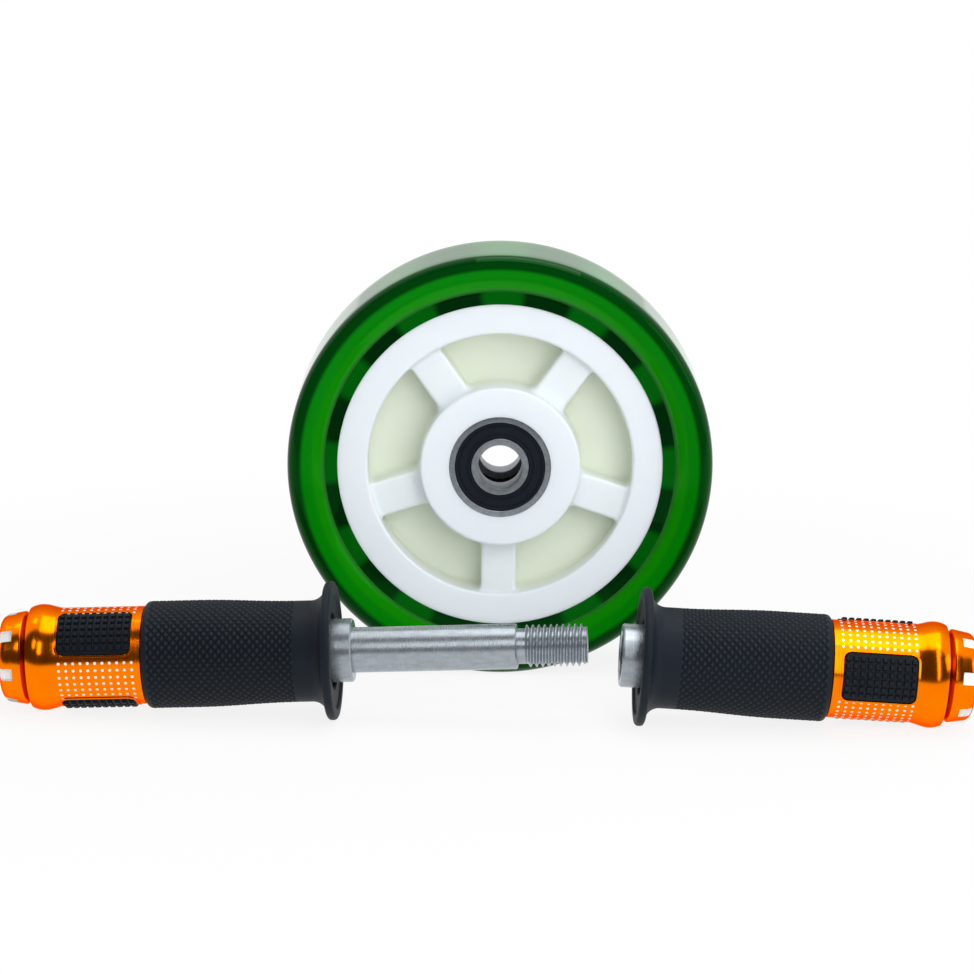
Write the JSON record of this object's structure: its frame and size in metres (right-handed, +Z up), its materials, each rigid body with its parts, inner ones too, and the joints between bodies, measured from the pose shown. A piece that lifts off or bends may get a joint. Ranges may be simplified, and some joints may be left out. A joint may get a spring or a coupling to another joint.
{
  "type": "ab wheel roller",
  "caption": "Ab wheel roller taken apart for fitting: a clear green tyred wheel on ball bearings, an axle handle and a screw-on nut handle with rubber grips and orange metal ends.",
  "frame": {"origin": "middle of the wheel's axle bore, half way between the two bearings", "axes": "+Y along the axle bore towards the back of the wheel, +X along the handles from the axle handle to the nut handle, +Z up; the wheel and the handles stand on one floor"},
  "size_m": [0.3221, 0.1265, 0.146],
  "materials": {
    "green_polyurethane": "clear cast polyurethane, glossy",
    "white_nylon": "moulded nylon, satin",
    "bearing_steel": "ground bearing steel",
    "cage_nylon": "moulded nylon cage",
    "seal_rubber": "moulded nitrile rubber",
    "turned_steel": "turned bright steel",
    "grip_rubber": "moulded rubber, knurled",
    "pad_rubber": "moulded rubber, studded",
    "orange_anodised": "orange anodised aluminium, bright"
  },
  "bodies": {
    "wheel": {"tyre": "green_polyurethane", "wheel_hub": "white_nylon", "front_bearing_outer_ring": "bearing_steel", "front_bearing_outer_seal": "seal_rubber", "front_bearing_inner_seal": "seal_rubber", "rear_bearing_outer_ring": "bearing_steel", "rear_bearing_outer_seal": "seal_rubber", "rear_bearing_inner_seal": "seal_rubber"},
    "front_inner_ring": {"front_bearing_inner_ring": "bearing_steel"},
    "front_ball_set": {"front_bearing_balls": "bearing_steel", "front_bearing_cage": "cage_nylon"},
    "rear_inner_ring": {"rear_bearing_inner_ring": "bearing_steel"},
    "rear_ball_set": {"rear_bearing_balls": "bearing_steel", "rear_bearing_cage": "cage_nylon"},
    "axle_handle": {"axle": "turned_steel", "axle_handle_core": "turned_steel", "axle_handle_grip": "grip_rubber", "axle_handle_barrel": "orange_anodised", "axle_handle_pads": "pad_rubber", "axle_handle_cap": "orange_anodised"},
    "nut_handle": {"nut_handle_bush": "turned_steel", "nut_handle_core": "turned_steel", "nut_handle_grip": "grip_rubber", "nut_handle_barrel": "orange_anodised", "nut_handle_pads": "pad_rubber", "nut_handle_cap": "orange_anodised"}
  },
  "joints": [
    {"name": "front_bearing_spin", "type": "hinge", "parent": "wheel", "child": "front_inner_ring", "pos_m": [0, -0.014, 0], "axis": [0, 1, 0], "continuous": true},
    {"name": "front_ball_orbit", "type": "hinge", "parent": "wheel", "child": "front_ball_set", "pos_m": [0, -0.014, 0], "axis": [0, 1, 0], "continuous": true},
    {"name": "rear_bearing_spin", "type": "hinge", "parent": "wheel", "child": "rear_inner_ring", "pos_m": [0, 0.014, 0], "axis": [0, 1, 0], "continuous": true},
    {"name": "rear_ball_orbit", "type": "hinge", "parent": "wheel", "child": "rear_ball_set", "pos_m": [0, 0.014, 0], "axis": [0, 1, 0], "continuous": true},
    {"name": "axle_draw", "type": "slide", "parent": "wheel", "child": "axle_handle", "axis": [-0.9978, 0.0658, 0], "range_m": [0, 0.12]},
    {"name": "nut_turn", "type": "hinge", "parent": "wheel", "child": "nut_handle", "pos_m": [0.0456, -0.08265, -0.04995], "axis": [0.998, 0.03, -0.0557], "continuous": true}
  ],
  "couplings": [
    {"joint": "front_ball_orbit", "follows": "front_bearing_spin", "ratio": 0.38094},
    {"joint": "rear_ball_orbit", "follows": "rear_bearing_spin", "ratio": 0.38094}
  ]
}
